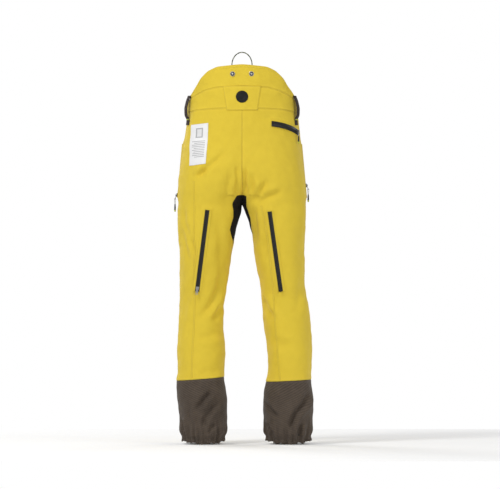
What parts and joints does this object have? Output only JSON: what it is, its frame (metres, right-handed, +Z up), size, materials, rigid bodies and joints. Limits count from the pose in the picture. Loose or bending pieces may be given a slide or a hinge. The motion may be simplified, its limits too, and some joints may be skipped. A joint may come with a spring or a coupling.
{
  "type": "protective work trousers",
  "caption": "High-back protective trousers with zipped vents and pockets, webbing belt loops, brace studs, a hang loop and elasticated ribbed gaiters.",
  "frame": {"origin": "centre of the waist opening at the belt line, between the side belt loops", "axes": "+Z up, -Y to the wearer's front, +X to the wearer's left"},
  "size_m": [0.461, 0.2732, 1.2883],
  "materials": {
    "shell_fabric": "matt woven stretch shell",
    "gaiter_fabric": "matt ribbed ballistic weave",
    "gusset_fabric": "matt stretch knit",
    "emblem": "satin moulded patch",
    "webbing": "matt woven webbing",
    "label": "smooth woven label",
    "zip_tape": "coil zip with a coated tape",
    "metal": "polished",
    "pull_plastic": "satin moulded",
    "cord": "flecked braided cord",
    "lining": "matt lining mesh",
    "elastic": "ribbed elastic"
  },
  "bodies": {
    "hips": {"seat_left": "shell_fabric", "hip_front_left": "shell_fabric", "seat_right": "shell_fabric", "hip_front_right": "shell_fabric", "crotch_gusset": "gusset_fabric", "waistband_back": "shell_fabric", "waistband_front_left": "shell_fabric", "waistband_front_right": "shell_fabric", "back_riser": "shell_fabric", "badge_panel": "shell_fabric", "badge_emblem": "emblem", "brace_stud_left": "metal", "brace_stud_right": "metal", "hang_loop": "cord", "belt_loop_left": "webbing", "belt_loop_front_left": "webbing", "belt_loop_right": "webbing", "belt_loop_front_right": "webbing", "rear_zip_tape": "zip_tape", "hand_zip_tape_left": "zip_tape", "hand_zip_tape_right": "zip_tape", "fly_zip_tape": "zip_tape", "fly_flap": "shell_fabric", "waist_tab": "shell_fabric", "waist_stud": "metal", "care_label": "label", "rear_pocket_bag": "lining", "hand_pocket_bag_left": "lining", "hand_pocket_bag_right": "lining"},
    "thigh_left": {"thigh_back_left": "shell_fabric", "thigh_front_left": "shell_fabric", "leg_gusset_left": "gusset_fabric", "vent_zip_tape_left": "zip_tape", "thigh_pad_left": "lining"},
    "shin_left": {"lower_leg_left": "shell_fabric", "gaiter_left": "gaiter_fabric", "hem_elastic_left": "elastic"},
    "vent_left_slider": {"vent_left_slider": "metal"},
    "vent_left_pull": {"vent_left_pull": "metal"},
    "hand_left_slider": {"hand_left_slider": "metal"},
    "hand_left_pull": {"hand_left_pull": "pull_plastic"},
    "hand_left_toggle": {"hand_left_toggle": "pull_plastic"},
    "thigh_right": {"thigh_back_right": "shell_fabric", "thigh_front_right": "shell_fabric", "leg_gusset_right": "gusset_fabric", "vent_zip_tape_right": "zip_tape", "thigh_pad_right": "lining"},
    "shin_right": {"lower_leg_right": "shell_fabric", "gaiter_right": "gaiter_fabric", "hem_elastic_right": "elastic"},
    "vent_right_slider": {"vent_right_slider": "metal"},
    "vent_right_pull": {"vent_right_pull": "metal"},
    "hand_right_slider": {"hand_right_slider": "metal"},
    "hand_right_pull": {"hand_right_pull": "pull_plastic"},
    "hand_right_toggle": {"hand_right_toggle": "pull_plastic"},
    "rear_slider": {"rear_slider": "metal"},
    "rear_toggle": {"rear_toggle": "pull_plastic"},
    "fly_slider": {"fly_slider": "metal", "fly_pull": "metal"}
  },
  "joints": [
    {"name": "hip_left", "type": "hinge", "parent": "hips", "child": "thigh_left", "pos_m": [0.108, 0.004, -0.215], "axis": [-1, 0, 0], "range_deg": [-15, 50]},
    {"name": "knee_left", "type": "hinge", "parent": "thigh_left", "child": "shin_left", "pos_m": [0.135, -0.007, -0.69077], "axis": [1, 0, 0], "range_deg": [0, 60]},
    {"name": "vent_left_zip", "type": "slide", "parent": "thigh_left", "child": "vent_left_slider", "axis": [-0.1256, 0.108, 0.9862], "range_m": [0, 0.248]},
    {"name": "vent_left_pull_hinge", "type": "hinge", "parent": "vent_left_slider", "child": "vent_left_pull", "pos_m": [0.14678, 0.09493, -0.60362], "axis": [0.9874, -0.0826, 0.1348], "range_deg": [0, 150]},
    {"name": "hand_left_zip", "type": "slide", "parent": "hips", "child": "hand_left_slider", "axis": [-0.0904, 0.0566, 0.9943], "range_m": [0, 0.158]},
    {"name": "hand_left_pull_hinge", "type": "hinge", "parent": "hand_left_slider", "child": "hand_left_pull", "pos_m": [0.21682, -0.0295, -0.29515], "axis": [-0.1782, -0.9832, 0.0398], "range_deg": [0, 120]},
    {"name": "hand_left_toggle_swing", "type": "hinge", "parent": "hand_left_pull", "child": "hand_left_toggle", "pos_m": [0.22143, -0.03087, -0.30851], "axis": [-0.1784, -0.984, 0], "range_deg": [0, 60]},
    {"name": "hip_right", "type": "hinge", "parent": "hips", "child": "thigh_right", "pos_m": [-0.108, 0.004, -0.215], "axis": [-1, 0, 0], "range_deg": [-15, 50]},
    {"name": "knee_right", "type": "hinge", "parent": "thigh_right", "child": "shin_right", "pos_m": [-0.135, -0.007, -0.69077], "axis": [1, 0, 0], "range_deg": [0, 60]},
    {"name": "vent_right_zip", "type": "slide", "parent": "thigh_right", "child": "vent_right_slider", "axis": [0.1392, 0.0979, 0.9854], "range_m": [0, 0.238]},
    {"name": "vent_right_pull_hinge", "type": "hinge", "parent": "vent_right_slider", "child": "vent_right_pull", "pos_m": [-0.12414, 0.09631, -0.59474], "axis": [0.9808, -0.1508, -0.1235], "range_deg": [0, 150]},
    {"name": "hand_right_zip", "type": "slide", "parent": "hips", "child": "hand_right_slider", "axis": [0.0905, 0.0557, 0.9943], "range_m": [-0.03, 0.126]},
    {"name": "hand_right_pull_hinge", "type": "hinge", "parent": "hand_right_slider", "child": "hand_right_pull", "pos_m": [-0.21394, -0.02756, -0.26329], "axis": [-0.1781, 0.9832, -0.0389], "range_deg": [0, 120]},
    {"name": "hand_right_toggle_swing", "type": "hinge", "parent": "hand_right_pull", "child": "hand_right_toggle", "pos_m": [-0.21856, -0.02893, -0.27665], "axis": [-0.1782, 0.984, 0], "range_deg": [0, 60]},
    {"name": "rear_zip", "type": "hinge", "parent": "hips", "child": "rear_slider", "pos_m": [-0.05909, -0.00696, -0.11069], "axis": [0, -0.3714, 0.9285], "range_deg": [-45.1, 0]},
    {"name": "rear_toggle_swing", "type": "hinge", "parent": "rear_slider", "child": "rear_toggle", "pos_m": [-0.18629, 0.05815, -0.08465], "axis": [0.5015, 0.8626, 0.0665], "range_deg": [0, 60]},
    {"name": "fly_zip", "type": "slide", "parent": "hips", "child": "fly_slider", "axis": [0, -0.0254, 0.9997], "range_m": [-0.14, 0]}
  ]
}
